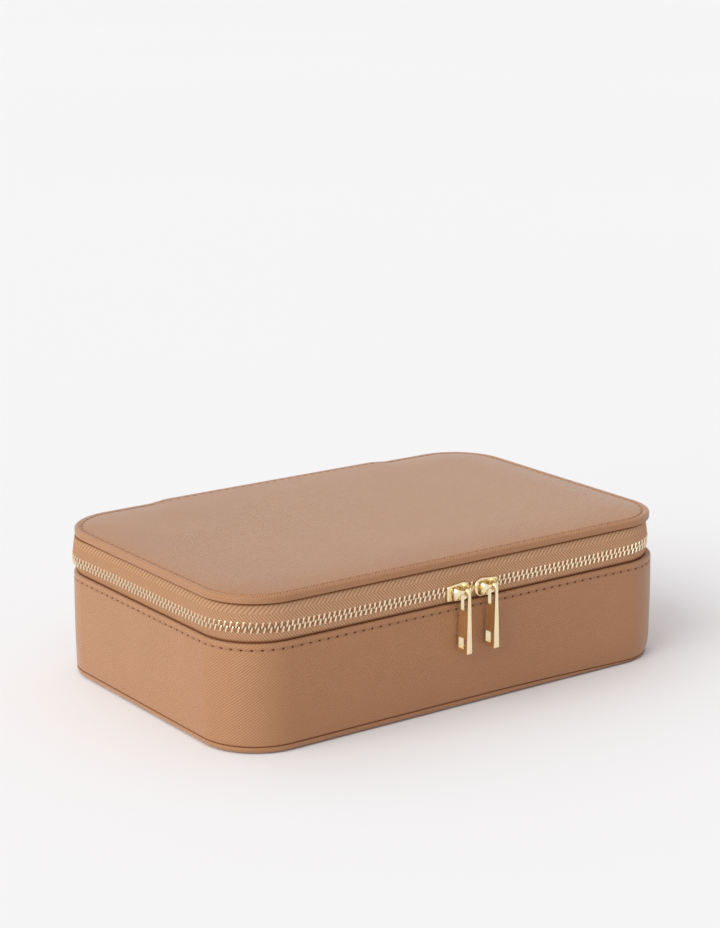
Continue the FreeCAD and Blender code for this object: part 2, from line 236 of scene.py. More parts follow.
class Outline:
    """Rectangle with round corners, walked anticlockwise from the middle of its back."""

    normals = np.array([(0, 1), (-1, 0), (0, -1), (1, 0)], float)
    tangents = np.array([(-1, 0), (0, -1), (1, 0), (0, 1)], float)

    def __init__(self, wide, deep, radius):
        self.radius = radius
        self.across = np.array([deep, wide, deep, wide])
        self.along = np.array([wide, deep, wide, deep])
        self.arc = radius * math.pi / 2
        self.runs = 2 * (self.along - radius)
        self.starts = np.concatenate([[0], np.cumsum(self.runs + self.arc)])
        self.perimeter = self.starts[-1]
        self.back_left = (self.runs[0] + self.arc) / 2
        self.front_middle = self.perimeter / 2
        self.front_right = self.front_middle + self.back_left

    def walk(self, distances):
        return Walk(self, np.asarray(distances, float))

    def round_walk(self, spacing):
        count = round(self.perimeter / spacing)
        return self.walk(np.arange(count) * self.perimeter / count)


class Walk:
    """Stations along an outline, each able to give its place at any inset."""

    least_radius = 0.5 * mm

    def __init__(self, outline, distances):
        self.outline = outline
        self.distances = distances
        place = (distances + outline.runs[0] / 2) % outline.perimeter
        side = np.clip(np.searchsorted(outline.starts, place, side="right") - 1, 0, 3)
        rest = place - outline.starts[side]
        run = outline.runs[side]
        self.share = np.clip(2 * rest / run - 1, -1, 1)
        angle = np.clip((rest - run) / outline.radius, 0, None)
        self.cosine = np.cos(angle)[:, None]
        self.sine = np.sin(angle)[:, None]
        self.normal = outline.normals[side]
        self.tangent = outline.tangents[side]
        self.across = outline.across[side]
        self.along = outline.along[side]
        self.outward = self.normal * self.cosine + self.tangent * self.sine
        self.forward = self.tangent * self.cosine - self.normal * self.sine

    def at(self, inset, height, radius=None):
        """Points at an inset and a height, each one number or one value per station."""
        if radius is None:
            radius = np.maximum(self.outline.radius - inset, self.least_radius)
        across = (self.across - inset - radius)[:, None]
        along = (self.share * (self.along - inset - radius))[:, None]
        reach = np.broadcast_to(radius, self.share.shape)[:, None]
        flat = self.normal * across + self.tangent * along + self.outward * reach
        return np.column_stack([flat, np.broadcast_to(height, self.share.shape)])


case = Outline(half_width, half_depth, corner_radius)


def even_distances(outline, inset, pitch, start, end):
    """Distances along an outline whose places at an inset lie a pitch apart, from start to end."""
    dense = np.linspace(start, end, 4000)
    points = outline.walk(dense).at(inset, 0.0)
    steps = np.linalg.norm(np.diff(points, axis=0), axis=1)
    lengths = np.concatenate([[0], np.cumsum(steps)])
    return np.interp(np.arange(0, lengths[-1] + pitch / 2, pitch), lengths, dense)


def bell(distance, reach):
    """1 at no distance, falling smoothly to 0 either side."""
    return np.exp(-((distance / reach) ** 2))


def hump(walk, middle, reach):
    """Bell round a place along the case."""
    return bell(walk.distances - middle, reach)


def eased(share):
    """A share held between 0 and 1, with a soft start and end."""
    held = np.clip(share, 0, 1)
    return held * held * (3 - 2 * held)


def quarter(start, end, bulge_first):
    """Six points of a quarter round between two (inset, height) corners."""
    found = []
    for turn in np.linspace(0, math.pi / 2, 6):
        fast, slow = math.sin(turn), 1 - math.cos(turn)
        inset_share, height_share = (fast, slow) if bulge_first else (slow, fast)
        inset = start[0] + (end[0] - start[0]) * inset_share
        found.append((inset, start[1] + (end[1] - start[1]) * height_share))
    return found


def noise_wave(distances, waves):
    """Gentle uneven wave along a path: a sum of (length, phase) sines, between about -1 and 1."""
    total = sum(np.sin(2 * math.pi * distances / length + phase) for length, phase in waves)
    return total / len(waves)


# Mesh building

def added(name, data):
    """New object in the scene, from a mesh, a lamp or a camera."""
    made = bpy.data.objects.new(name, data)
    bpy.context.scene.collection.objects.link(made)
    return made


def dress(mesh, material):
    mesh.materials.clear()
    mesh.materials.append(material)


def new_object(name, points, faces, material):
    mesh = bpy.data.meshes.new(name)
    mesh.from_pydata(np.asarray(points).tolist(), [], faces)
    dress(mesh, material)
    return added(name, mesh)


def smooth(made, angle=50):
    made.data.shade_smooth()
    made.data.set_sharp_from_angle(angle=math.radians(angle))


def set_grain(mesh, coordinates):
    layer = mesh.uv_layers.new(name="grain")
    layer.uv.foreach_set("vector", np.asarray(coordinates, np.float32).ravel())


# Painted shade per point, stored as the shade attribute
def set_shade(mesh, values):
    attribute = mesh.attributes.new("shade", "FLOAT", "POINT")
    attribute.data.foreach_set("value", np.asarray(values, np.float32).ravel())


def weld(made, distance=2e-6):
    work = bmesh.new()
    work.from_mesh(made.data)
    bmesh.ops.remove_doubles(work, verts=work.verts, dist=distance)
    bmesh.ops.recalc_face_normals(work, faces=work.faces)
    work.to_mesh(made.data)
    work.free()


def loft(name, walk, rows, material, ring=True, shell=False, shades=None, flat_above=None):
    """Skin over outlines at (inset, height) rows.

    A ring closes round the case, and a shell closes its profile.
    """
    layers = [walk.at(*row) for row in rows]
    columns = len(walk.distances)
    row_count = len(rows)
    row_ends = row_count if shell else row_count - 1
    column_ends = columns if ring else columns - 1
    row, column = np.indices((row_ends, column_ends)).reshape(2, -1)
    corners = [(row, column), (row, column + 1), (row + 1, column + 1), (row + 1, column)]
    faces = np.stack([(r % row_count) * columns + c % columns for r, c in corners], axis=1)
    points = np.concatenate(layers)
    made_faces = faces.tolist()
    steps = [np.linalg.norm(layers[k + 1][0] - layers[k][0]) for k in range(row_count - 1)]
    lengths = np.concatenate([[0], np.cumsum(steps), [np.sum(steps)]])
    distances = np.append(walk.distances, walk.outline.perimeter)
    coordinates = np.stack([np.stack([distances[c], lengths[r]], axis=1) for r, c in corners], axis=1)
    if flat_above is not None:
        middle = points[faces].mean(axis=1)
        flat = middle[:, 2] > flat_above
        coordinates[flat] = points[faces][flat][:, :, :2]
    coordinates = coordinates.reshape(-1, 2)
    if shell and not ring:
        first = [k * columns for k in range(row_count)]
        last = [k * columns + columns - 1 for k in reversed(range(row_count))]
        made_faces += [first, last]
        coordinates = np.concatenate([coordinates, np.zeros((2 * row_count, 2))])
    made = new_object(name, points, made_faces, material)
    set_grain(made.data, coordinates)
    if shades is not None:
        set_shade(made.data, np.concatenate([np.broadcast_to(s, columns) for s in shades]))
    weld(made)
    smooth(made)
    return made


def tubes(name, rings, material, angle=50):
    """Closed tubes, from an array of tubes, rings and points."""
    points = rings.reshape(-1, 3)
    faces = []
    for index in np.arange(len(points)).reshape(rings.shape[:3]):
        after = np.roll(index, -1, axis=1)
        quads = np.stack([index[:-1], after[:-1], after[1:], index[1:]], axis=-1)
        faces += quads.reshape(-1, 4).tolist() + index[[0, -1]].tolist()
    made = new_object(name, points, faces, material)
    weld(made, 1e-8)
    smooth(made, angle)
    return made


def level_vectors(flat):
    """Vectors in the ground plane, made three-dimensional."""
    return np.column_stack([flat, np.zeros(len(flat))])


def centre_row(height):
    """Row that closes a loft of the case along the line down its middle."""
    return (half_depth, height, 0.0)


# Materials

# Sockets of a Mix node for each kind of value: its two inputs and its output
mix_sockets = {"FLOAT": (2, 3, 0), "RGBA": (6, 7, 2)}


class Nodes:
    """Node tree, with short calls to add to it."""

    def __init__(self, tree):
        self.tree = tree

    def add(self, kind, **settings):
        node = self.tree.nodes.new(kind)
        for key, value in settings.items():
            setattr(node, key, value)
        return node

    def feed(self, socket, value):
        if isinstance(value, bpy.types.NodeSocket):
            self.tree.links.new(value, socket)
        else:
            socket.default_value = value

    def feed_all(self, node, *values):
        """Feed a node's sockets in their order."""
        for socket, value in zip(node.inputs, values):
            self.feed(socket, value)

    def fill(self, node, **values):
        """Feed a node's sockets by their names, with _ for a space."""
        for key, value in values.items():
            self.feed(node.inputs[key.replace("_", " ")], value)

    def maths(self, operation, *values):
        node = self.add("ShaderNodeMath", operation=operation)
        self.feed_all(node, *values)
        return node.outputs[0]

    def times(self, value, factor, plus=0.0):
        """A value times a factor, with another one added."""
        return self.maths("MULTIPLY_ADD", value, factor, plus)

    def between(self, value, low, high, start=0.0, end=1.0, curve="LINEAR"):
        """From low to high, as the value goes from start to end."""
        node = self.add("ShaderNodeMapRange", interpolation_type=curve)
        self.fill(node, Value=value, From_Min=start, From_Max=end, To_Min=low, To_Max=high)
        return node.outputs["Result"]

    def mix(self, share, first, second, kind="RGBA"):
        node = self.add("ShaderNodeMix", data_type=kind)
        low, high, result = mix_sockets[kind]
        for socket, value in ((0, share), (low, first), (high, second)):
            self.feed(node.inputs[socket], value)
        return node.outputs[result]


class Shader(Nodes):
    """Nodes of one material, with short calls to build its look."""

    def __init__(self, name):
        self.material = bpy.data.materials.new(name)
        self.material.use_nodes = True
        super().__init__(self.material.node_tree)
        self.surface = self.tree.nodes["Principled BSDF"]

    def parts(self, vector):
        """The three coordinates of a vector."""
        node = self.add("ShaderNodeSeparateXYZ")
        self.feed_all(node, vector)
        return node.outputs

    def grain(self):
        """The grain map and its two coordinates, in metres."""
        map_ = self.add("ShaderNodeUVMap", uv_map="grain").outputs[0]
        along, up = self.parts(map_)[:2]
        return map_, along, up

    def place(self):
        return self.add("ShaderNodeTexCoord").outputs["Object"]

    def noise(self, vector, scale, detail=2.0, roughness=0.5):
        node = self.add("ShaderNodeTexNoise")
        self.fill(node, Vector=vector, Scale=scale, Detail=detail, Roughness=roughness)
        return node.outputs["Fac"]

    def stripes(self, phase):
        """Rounded ridges from 0 to 1, one for each whole step of the phase."""
        return self.times(self.maths("SINE", self.times(phase, 2 * math.pi)), 0.5, 0.5)

    def shade(self):
        """Painted shade at each point of a piece, from 0 to 1."""
        return self.add("ShaderNodeAttribute", attribute_name="shade").outputs["Fac"]

    def bump(self, height, strength, distance):
        node = self.add("ShaderNodeBump")
        self.fill(node, Height=height, Strength=strength, Distance=distance)
        self.set(Normal=node.outputs[0])

    def colour(self, value):
        self.set(Base_Color=value)

    def set(self, **values):
        self.fill(self.surface, **values)


leather_dark = linear(165, 112, 75)
leather_light = linear(186, 133, 92)
leather_shadow = linear(116, 62, 26)
grain_pitch = 1.0 * mm
grain_rise = 0.75


def make_leather():
    """Leather pressed with a fine crosshatch, the rising lines a little stronger."""
    shader = Shader("leather")
    map_, along, up = shader.grain()
    wander = shader.times(shader.noise(map_, 160), 0.5)
    rising_scale = 1 / (math.hypot(1, grain_rise) * grain_pitch)
    across = shader.times(along, grain_rise)
    rising = shader.times(shader.maths("SUBTRACT", across, up), rising_scale, wander)
    falling_scale = 1 / (math.sqrt(2) * grain_pitch)
    falling = shader.times(shader.maths("ADD", along, up), falling_scale, wander)
    hatch = shader.times(shader.stripes(falling), 0.35)
    hatch = shader.times(shader.stripes(rising), 0.65, hatch)
    pores = shader.noise(map_, 2600, 3.0, 0.6)
    height = shader.times(pores, 0.08, hatch)
    patches = shader.noise(shader.place(), 28, 3.0, 0.55)
    # The tone follows the leather's own noise patches, and the crosshatch, darker in its grooves: painted
    # shade in the grain
    tone = shader.times(patches, 0.4, shader.times(hatch, 0.6))
    base = shader.mix(tone, leather_dark, leather_light)
    # Painted shade: the shade attribute darkens the leather towards leather_shadow in grooves, folds,
    # seams and stitch dents
    shade = shader.shade()
    shader.colour(shader.mix(shade, base, leather_shadow))
    rough = shader.times(shade, 0.3, shader.between(pores, 0.40, 0.56))
    open_ = shader.maths("SUBTRACT", 1.0, shade)
    shader.set(Roughness=rough, Specular_IOR_Level=shader.times(open_, 0.52))
    shader.set(Sheen_Weight=shader.times(open_, 0.47), Sheen_Roughness=0.3)
    shader.bump(height, 1.0, 0.21 * mm)
    return shader.material


tape_dark = linear(162, 114, 82)
tape_light = linear(222, 176, 138)
# Painted shade: how far the tape along the left side of the case is darkened towards leather_shadow
tape_left_shade = 0.3
# Painted shade on the tape, in its seams and in the gaps beside the teeth
seam_darkness = 0.92
teeth_darkness = 0.55
weave_slope = 0.95
broad_pitch = 2.3 * mm
fine_pitch = 1.55 * mm
weave_edge = rim_bottom - 4.5 * mm
weave_edge_blur = 0.2 * mm


def make_tape_material():
    """Woven zip tape: two bands of slanted floats that meet in a herringbone."""
    shader = Shader("zip_tape")
    map_, along, _ = shader.grain()
    level = shader.parts(shader.place())[2]
    wander = shader.times(shader.noise(map_, 500), 0.25)
    broad = shader.times(level, -weave_slope, along)
    broad = shader.stripes(shader.times(broad, 1 / broad_pitch, wander))
    fine = shader.times(level, weave_slope, along)
    fine = shader.stripes(shader.times(fine, 1 / fine_pitch, wander))
    broad = shader.maths("POWER", broad, 0.6)
    fine = shader.between(fine, 0.05, 0.9)
    start, end = weave_edge - weave_edge_blur, weave_edge + weave_edge_blur
    upper = shader.between(level, 0.0, 1.0, start, end, "SMOOTHSTEP")
    weave = shader.mix(upper, fine, broad, "FLOAT")
    fibre = shader.noise(map_, 3500, 2.0, 0.6)
    height = shader.times(fibre, 0.35, weave)
    tone = shader.times(fibre, 0.3, shader.times(weave, 0.7))
    # Painted shade: the shade attribute darkens the tape towards leather_shadow
    shade = shader.shade()
    shader.colour(shader.mix(shade, shader.mix(tone, tape_dark, tape_light), leather_shadow))
    shader.set(Roughness=shader.between(fibre, 0.7, 0.9))
    shader.set(Specular_IOR_Level=shader.times(shade, -0.3, 0.3))
    shader.bump(height, 0.8, 0.2 * mm)
    return shader.material


def make_metal(name, colour, smooth_low, smooth_high, scratch):
    shader = Shader(name)
    spots = shader.noise(shader.place(), 900, 3.0, 0.6)
    cloud = shader.noise(shader.place(), 220, 2.0)
    darker = tuple(part * 0.88 for part in colour[:3]) + (1.0,)
    shader.colour(shader.mix(cloud, darker, colour))
    shader.set(Metallic=1.0, Roughness=shader.between(spots, smooth_low, smooth_high))
    shader.bump(spots, scratch, 0.01 * mm)
    return shader.material


suede_dark = linear(176, 146, 120)
suede_light = linear(212, 186, 160)


def make_suede():
    shader = Shader("suede")
    place = shader.place()
    nap = shader.noise(place, 2200, 4.0, 0.7)
    strokes = shader.noise(place, 60, 3.0, 0.6)
    tone = shader.times(nap, 0.45, shader.times(strokes, 0.55))
    shader.colour(shader.mix(tone, suede_dark, suede_light))
    shader.set(Roughness=shader.between(nap, 0.82, 0.98), Sheen_Weight=0.35, Sheen_Roughness=0.4)
    shader.set(Specular_IOR_Level=0.2)
    shader.bump(nap, 0.35, 0.12 * mm)
    return shader.material


def make_plain(name, speckle, dark, light, rough, relief=None, **settings):
    """Material whose colour, roughness and relief follow one noise."""
    shader = Shader(name)
    spots = shader.noise(shader.place(), *speckle)
    shader.colour(shader.mix(spots, linear(*dark), linear(*light)))
    shader.set(Roughness=shader.between(spots, *rough), **settings)
    if relief:
        shader.bump(spots, *relief)
    return shader.material


zip_colour = (0.92, 0.75, 0.53, 1.0)
gold_colour = (0.98, 0.84, 0.55, 1.0)

leather_material = make_leather()
tape_material = make_tape_material()
tooth_metal = make_metal("zip_metal", zip_colour, 0.22, 0.34, 0.12)
gold_metal = make_metal("gold", gold_colour, 0.16, 0.27, 0.05)
suede_material = make_suede()
board_material = make_plain(
    "board", (700, 5.0, 0.7), (140, 122, 100), (180, 162, 138), (0.8, 0.95), (0.3, 0.1 * mm)
)
mirror_material = make_plain(
    "mirror", (45, 3.0), (226, 230, 230), (238, 241, 241), (0.015, 0.04), Metallic=1.0
)
thread_material = make_plain(
    "thread", (1800, 2.0), (150, 106, 76), (182, 136, 102), (0.6, 0.8), (0.5, 0.08 * mm),
    Sheen_Weight=0.55, Sheen_Roughness=0.3
)
# Painted shade: the needle holes get a near-black brown that stands for the shade inside them
hole_shade_material = make_plain(
    "needle_hole", (1500, 2.0), (56, 22, 10), (84, 38, 18), (0.85, 1.0), Specular_IOR_Level=0.05
)


def piece(made, body, slot, *nodes):
    """Give a new piece its body and hide the CAD nodes that it stands for; its slot is not used."""
    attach(made, body)
    if nodes:
        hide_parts(*nodes)
    return made


# Stitches

stitch_count = round(case.perimeter / stitch_pitch)
hole_distances = np.arange(stitch_count) * case.perimeter / stitch_count


def stitch_walk():
    return case.round_walk(stitch_pitch / columns_per_stitch)


def stitch_dents(walk):
    """1 at the needle holes and 0 half way between them."""
    phase = walk.distances / case.perimeter * stitch_count
    return (0.5 + 0.5 * np.cos(2 * math.pi * phase)) ** 4


def sewing_frame(distances, line, height, on_top):
    """Stations on a seam: their walk, middles, normals and the direction across the seam."""
    walk = case.walk(distances)
    outward = level_vectors(walk.outward)
    up = np.broadcast_to(np.array([0.0, 0.0, 1.0]), outward.shape)
    normal, side = (up, -outward) if on_top else (outward, up)
    return walk, walk.at(line(walk), height), normal, side


def stitch_thread(name, line, height, on_top, channel):
    """Row of thread between the needle holes, on the wall or on top of the lid."""
    starts = hole_distances + case.perimeter / stitch_count / 2
    length = stitch_pitch - stitch_gap
    turns = np.arange(8) * math.pi / 4
    rings = []
    for share in np.linspace(-1, 1, 9):
        walk, middle, normal, side = sewing_frame(starts + share * length / 2, line, height, on_top)
        size = thread_radius * math.sqrt(max(1 - share ** 4, 0.02))
        lift = (thread_radius * (0.35 - 0.9 * share ** 4) - channel(walk))[:, None]
        rings.append([
            middle
            + normal * (lift + size * math.cos(turn))
            + side * (stitch_slant * share + size * math.sin(turn))
            for turn in turns
        ])
    return tubes(name, np.moveaxis(rings, 2, 0), thread_material, 80)


def needle_holes(name, line, height, on_top, channel):
    """Small pits at the ends of the stitches, in a dark material: painted shade inside the needle holes.
    """
    turns = np.arange(10) * math.pi / 5
    walk, middle, normal, side = sewing_frame(hole_distances, line, height, on_top)
    forward = level_vectors(walk.forward)
    rings = []
    for share in np.linspace(-1, 1, 5):
        size = hole_radius * math.sqrt(max(1 - share ** 2, 0.02))
        lift = (hole_swell * share - channel(walk) - hole_depth)[:, None]
        rings.append([
            middle + normal * lift + forward * (size * math.cos(turn)) + side * (size * math.sin(turn))
            for turn in turns
        ])
    return tubes(name, np.moveaxis(rings, 2, 0), hole_shade_material, 80)


def sew(name, body, *seam):
    """Thread and needle holes of a seam, given by its line, height, facing and channel."""
    piece(stitch_thread(f"{name}_thread", *seam), body, "leather")
    piece(needle_holes(f"{name}_needle_holes", *seam), body, "leather")


# Outside of the base

def seam_drop(walk):
    """How far the seam above the bottom panel sinks at each station, most at the front right corner."""
    return seam_sink * hump(walk, case.front_right, seam_sink_reach)


def wall_face(walk):
    """Inset of the wall's outer face: the padding stands out a little round the front right corner."""
    return -corner_swell * hump(walk, case.front_right, corner_swell_reach)


def wall_channel(walk):
    """Depth of the channel that the wall's stitches lie in."""
    return np.full(len(walk.distances), stitch_channel)


def wall_rows(walk):
    """Profile of the wall's leather from the foot of its inner side, and its painted shade per row: dark
    in the groove at its foot, in the stitch dents and in the fold under the tape.
    """
    stitch_level = leather_top - base_stitch_drop
    dents = stitch_dents(walk)
    wave = noise_wave(walk.distances, wall_waves)
    drop = seam_drop(walk)
    rows = [(tape_back_inset, wall_bottom), (groove_roll + 0.05 * mm, wall_bottom)]
    foot = quarter((groove_roll, wall_bottom), (0.0, wall_bottom + groove_roll), True)
    rows += [(inset, level - drop) for inset, level in foot]
    shades = [0.95, 0.95] + [0.9, 0.85, 0.7, 0.4, 0.12, 0.0]
    levels = list(np.linspace(wall_bottom + groove_roll, stitch_level - 2 * mm, 12)[1:])
    steps = (-1.4, -1.0, -0.7, -0.4, -0.2, 0, 0.2, 0.4, 0.7, 1.0, 1.4)
    levels += [stitch_level + step * mm for step in steps]
    for level in levels:
        up = level - wall_bottom
        full = math.sin(math.pi * up / (leather_top - wall_bottom))
        near = bell(level - stitch_level, stitch_spread)
        inset = -wall_bulge * full * (1 + 0.5 * wave) + near * (stitch_channel + stitch_dent * dents)
        foot_share = min(up / corner_swell_foot, 1)
        inset = inset + wall_face(walk) * math.sin(math.pi / 2 * foot_share)
        rows.append((inset, level - drop * max(1 - up / seam_sink_height, 0)))
        shades.append(near * (0.03 + 0.5 * dents))
    roll = quarter((0.0, leather_top - wall_roll), (wall_roll, leather_top), False)
    rows += [(inset + wall_face(walk), level) for inset, level in roll]
    shades += [0.0] * len(roll)
    inner = quarter((fold_inset - 0.4 * mm, leather_top), (fold_inset, leather_top - 0.5 * mm), True)
    rows += inner
    shades += [0.2, 0.4, 0.6, 0.75, 0.85, 0.9]
    rows += [(fold_inset, leather_top - 2 * mm), (fold_inset, seam_bottom), (tape_back_inset, seam_bottom)]
    shades += [0.9, 0.9, 0.9]
    return rows, shades


def make_wall():
    walk = stitch_walk()
    rows, shades = wall_rows(walk)
    wall = loft("wall_leather", walk, rows, leather_material, shell=True, shades=shades)
    piece(wall, "base", "leather", "base_wall_cover", "base_wall_foam")
    sew("wall", "base", wall_face, leather_top - base_stitch_drop, False, wall_channel)


def make_bottom():
    walk = case.round_walk(plain_spacing)
    # Painted shade per row: dark in the groove under the wall, fading down the lip, and a little where the
    # lip rolls under
    rows = [centre_row(leather), (leather, leather), (leather, wall_bottom)]
    rows.append((groove_roll + 0.1 * mm, wall_bottom))
    shades = [0, 0, 0.9, 0.9]
    lip = quarter((groove_roll, wall_bottom), (0.0, wall_bottom - groove_roll), True)
    shades += [0.9, 0.8, 0.6, 0.3, 0.1, 0.0]
    lip += quarter((0.0, bottom_roll + bottom_lift), (bottom_roll, bottom_lift), False)
    low = 1 - seam_drop(walk) / (wall_bottom - bottom_lift)
    rows += [(inset, bottom_lift + (level - bottom_lift) * low) for inset, level in lip]
    shades += [0, 0, 0, 0.05, 0.1, 0.15]
    for inset in (3 * mm, 5 * mm, 8 * mm, 11 * mm, bottom_lift_reach, 20 * mm, 45 * mm, 70 * mm):
        rows.append((inset, bottom_lift * max(1 - inset / bottom_lift_reach, 0) ** 0.5))
        shades.append(0)
    rows.append(centre_row(0.0))
    shades.append(0)
    bottom = loft("bottom_leather", walk, rows, leather_material, shades=shades)
    piece(bottom, "base", "leather", "bottom_cover")


# Lid

def hinge_rise(walk):
    """Share of the lift that the hinge strip gives the back rim at each station."""
    points = walk.at(0.0, 0.0)
    inside = hinge_half_width - np.abs(points[:, 0])
    return np.where(points[:, 1] > 0, eased(inside / hinge_lift_ease + 0.5), 0.0)


def far_rim(walk):
    """How flat the rim is pressed: 0 along the front and the left, most along the back and the right."""
    facing = walk.outward @ np.array(far_side)
    return far_flatness * eased(facing / far_blur + 0.5)


def rim_edge(walk):
    """Inset of the rim's outer face: it is drawn in round the back left corner."""
    return rim_inset + rim_draw * hump(walk, case.back_left, tape_swell_reach)


def lid_stitch_line(walk):
    return rim_edge(walk) + lid_stitch_inset


def lid_channel(walk):
    """Depth of the channel that the lid's stitches lie in."""
    return lid_stitch_channel * (1 - far_rim(walk))


def lid_rows(walk):
    rim_top = rim_bottom + rim_height
    edge = rim_edge(walk)
    dents = stitch_dents(walk)
    rise = hinge_rise(walk)
    ridge = rim_ridge * (1 - far_rim(walk))
    channel = lid_channel(walk)
    wave = noise_wave(walk.distances, lid_waves)
    board_inset = edge + leather
    # Painted shade per row: dark under the rim's foot and in the lid's stitch dents
    rows = [centre_row(rim_top - leather), (board_inset, rim_top - leather), (board_inset, rim_bottom)]
    rows += [(edge + rim_foot_roll + 0.1 * mm, rim_bottom)]
    shades = [0, 0, 0.9, 0.95]
    rows += quarter((edge + rim_foot_roll, rim_bottom), (edge, rim_bottom + rim_foot_roll), True)
    shades += [0.9, 0.7, 0.45, 0.2, 0.05, 0.0]
    top_rows = quarter((edge, rim_top - rim_roll), (edge + rim_roll, rim_top), False)
    for step, share in ((0.15, 0.5), (0.4, 0.9), (0.7, 1.0), (1.0, 0.8)):
        top_rows.append((edge + rim_roll + step * mm, rim_top + ridge * share))
    top_shades = [0.0] * len(top_rows)
    for step in (-1.3, -0.9, -0.6, -0.35, -0.15, 0, 0.15, 0.35, 0.6, 0.9, 1.3):
        near = bell(step * mm, lid_stitch_spread)
        drop = near * (channel + stitch_dent * dents)
        swell = (crown_top - rim_top) * crown_share(max(step, 0) * mm)
        top_rows.append((edge + lid_stitch_inset + step * mm, rim_top - drop + swell))
        top_shades.append(near * (0.03 + 0.45 * dents))
    for reach in (2.5, 4, 6, 9, 12, 15, 18, 22, 28, 36, 46, 58, 68):
        swell = (crown_top - rim_top) * crown_share(reach * mm)
        uneven = lid_unevenness * wave * min(reach / 8, 1) * max(1 - reach / 60, 0)
        top_rows.append((edge + lid_stitch_inset + reach * mm, rim_top + swell + uneven))
        top_shades.append(0.0)
    for inset, height in top_rows:
        beyond = np.maximum(inset - hinge_lift_start, 0)
        lift = hinge_lift * rise * np.maximum(1 - beyond / hinge_lift_reach, 0) ** 2
        rows.append((inset, height + lift))
    rows.append(centre_row(crown_top))
    return rows, shades + top_shades + [0.0]


def crown_share(reach):
    """How much of the crown's height is reached at a distance in from the stitches."""
    share = min(reach / crown_reach, 1)
    return 1 - (1 - share) ** 2


def make_lid():
    walk = stitch_walk()
    rows, shades = lid_rows(walk)
    rim_top = rim_bottom + rim_height
    flat_above = rim_top - lid_flat_margin
    lid = loft("lid_leather", walk, rows, leather_material, shades=shades, flat_above=flat_above)
    piece(lid, "lid", "leather", "lid_cover", "lid_foam")
    sew("lid", "lid", lid_stitch_line, rim_top, True, lid_channel)


# Zip

def tape_ends(clearance):
    """Distances along the case where the zip tapes start and stop, either side of the hinge strip."""
    start = hinge_half_width + clearance
    return start, case.perimeter - start


def tape_inset(level):
    """The tape leaves its seams and bellies out to carry the chain near the face of the case."""
    if level > chain_level:
        share = (level - chain_level) / (rim_bottom - chain_level)
        return tape_out + (tape_in - tape_out) * share ** 1.5
    share = min((chain_level - level) / (chain_level - leather_top), 1)
    return tape_out + (fold_inset - tape_out) * share ** 1.5


def fade(value, full, none):
    """1 at the full value, falling to 0 at the other one, and held beyond both."""
    return min(max((none - value) / (none - full), 0), 1)


def tape_shade(level):
    """Painted shade on the tape at a level: dark where it sinks into both seams, and in the shade of the
    teeth.
    """
    upper_seam = fade(rim_bottom - level, 0.9 * mm, 1.6 * mm)
    lower_seam = fade(level - leather_top, 0.5 * mm, 1.5 * mm)
    teeth = fade(abs(level - chain_level), 1.6 * mm, 2.3 * mm)
    return max(seam_darkness * max(upper_seam, lower_seam), teeth_darkness * teeth)


def chain_wave(walk):
    """How far the soft chain stands above its level: up round the front corners, down between them."""
    beyond = np.abs(walk.distances - case.front_middle)
    corner = case.front_right - case.front_middle
    return chain_rise * bell(beyond - corner, chain_rise_reach) - chain_sag * bell(beyond, chain_sag_reach)


def chain_pull(level):
    """Share of the chain's wave that the tape follows at a level."""
    seam = rim_bottom if level > chain_level else leather_top
    return fade(level, chain_level, seam)


def chain_swell(walk):
    """How far the tape and the chain stand out round the back left corner."""
    return tape_swell * hump(walk, case.back_left, tape_swell_reach)


def swell_share(level):
    """Share of that swell at a level: none where the tape meets the wall."""
    return fade(level, chain_level, leather_top)


def make_tape(name, low, high, body, node):
    start, end = tape_ends(tape_clearance)
    walk = case.walk(np.linspace(start, end, tape_columns))
    levels = np.linspace(low, high, tape_levels)
    wave = chain_wave(walk)
    profile = [(tape_inset(level), level) for level in levels]
    profile += [(tape_inset(level) + tape_thick, level) for level in levels[::-4]]
    out = chain_swell(walk)
    rows = []
    for inset, level in profile:
        rows.append((inset - out * swell_share(level), level + wave * chain_pull(level)))
    # Painted shade: the tape is darker along the left side of the case
    left_shade = tape_left_shade * np.clip(-walk.outward[:, 0], 0, 1)
    shades = [np.maximum(tape_shade(level), left_shade) for _, level in profile]
    tape = loft(name, walk, rows, tape_material, ring=False, shell=True, shades=shades)
    piece(tape, body, "zip_tape", node)


def make_teeth(name, side, body, node):
    """One row of teeth, crimped on its tape and reaching between the teeth of the other row."""
    start, end = tape_ends(teeth_clearance)
    middle = case.front_middle
    right = even_distances(case, chain_inset, tooth_pitch / 2, middle, end)
    left = even_distances(case, chain_inset, tooth_pitch / 2, middle, start)
    first = 1 if side > 0 else 0
    chosen = np.concatenate([left[first::2][::-1], right[first::2][first == 0:]])
    walk = case.walk(chosen)
    foot = walk.at(chain_inset - chain_swell(walk), chain_level + chain_wave(walk))
    outward = level_vectors(walk.outward)
    forward = level_vectors(walk.forward)
    shape = [(1, tooth_corner), (tooth_corner, 1), (-tooth_corner, 1), (-1, tooth_corner)]
    shape += [(-a, -b) for a, b in shape]
    rings = []
    for wide_share, deep_share, height in tooth_sections:
        wide = tooth_half_width * wide_share
        deep = tooth_half_depth * deep_share
        centre = foot + forward * (side * height * tooth_slant) + np.array([0.0, 0.0, side * height])
        rings.append([centre + forward * (wide * a) + outward * (deep * b) for a, b in shape])
    teeth = tubes(name, np.moveaxis(rings, 2, 0), tooth_metal, 40)
    piece(teeth, body, "zip_metal", node)


